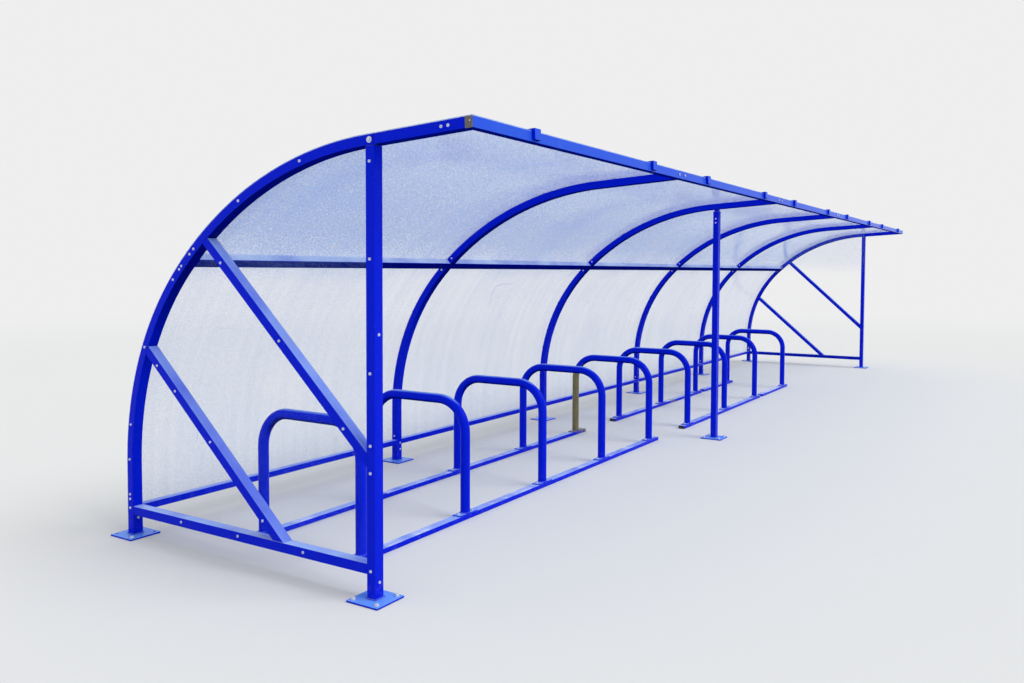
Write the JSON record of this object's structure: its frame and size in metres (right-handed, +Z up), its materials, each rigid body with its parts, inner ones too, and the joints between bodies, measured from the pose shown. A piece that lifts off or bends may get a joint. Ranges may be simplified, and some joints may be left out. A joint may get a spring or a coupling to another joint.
{
  "type": "bike shelter",
  "caption": "Long open-fronted cycle shelter of arched blue box-section hoops with clear curved sheets, clear ends and rows of hoop racks on floor rails.",
  "frame": {"origin": "on the ground, at the centre of the shelter's plan box", "axes": "+X along the shelter towards the end without racks, +Y towards the curved back, +Z up; the open front faces -Y"},
  "size_m": [11.69, 2.5014, 2.1814],
  "materials": {
    "blue_paint": "gloss blue powder coat over steel",
    "clear_sheet": "clear plastic sheet, finely scratched",
    "grey_cap": "weathered grey plastic",
    "dark_cap": "dark plastic"
  },
  "bodies": {
    "root": {"hoop_1": "blue_paint", "hoop_2": "blue_paint", "hoop_3": "blue_paint", "hoop_4": "blue_paint", "hoop_5": "blue_paint", "hoop_6": "blue_paint", "post_near": "blue_paint", "post_middle": "blue_paint", "post_far": "blue_paint", "front_rail_near": "blue_paint", "front_rail_middle": "blue_paint", "front_rail_far": "blue_paint", "front_rail_end_cap_near": "grey_cap", "front_rail_end_cap_far": "dark_cap", "sheet_clips": "blue_paint", "purlins": "blue_paint", "back_rails": "blue_paint", "end_rail_near": "blue_paint", "upper_brace_near": "blue_paint", "lower_brace_near": "blue_paint", "end_sheet_near": "clear_sheet", "end_rail_far": "blue_paint", "upper_brace_far": "blue_paint", "lower_brace_far": "blue_paint", "end_sheet_far": "clear_sheet", "roof_sheet_1": "clear_sheet", "roof_sheet_2": "clear_sheet", "roof_sheet_3": "clear_sheet", "roof_sheet_4": "clear_sheet", "roof_sheet_5": "clear_sheet", "rack_hoop_1": "blue_paint", "rack_hoop_2": "blue_paint", "rack_hoop_3": "blue_paint", "rack_hoop_4": "blue_paint", "rack_hoop_5": "blue_paint", "rack_hoop_6": "blue_paint", "rack_hoop_7": "blue_paint", "rack_hoop_8": "blue_paint", "rack_hoop_9": "blue_paint", "rack_rails_near": "blue_paint", "rack_rails_middle": "blue_paint", "rack_rails_far": "blue_paint"}
  },
  "joints": []
}
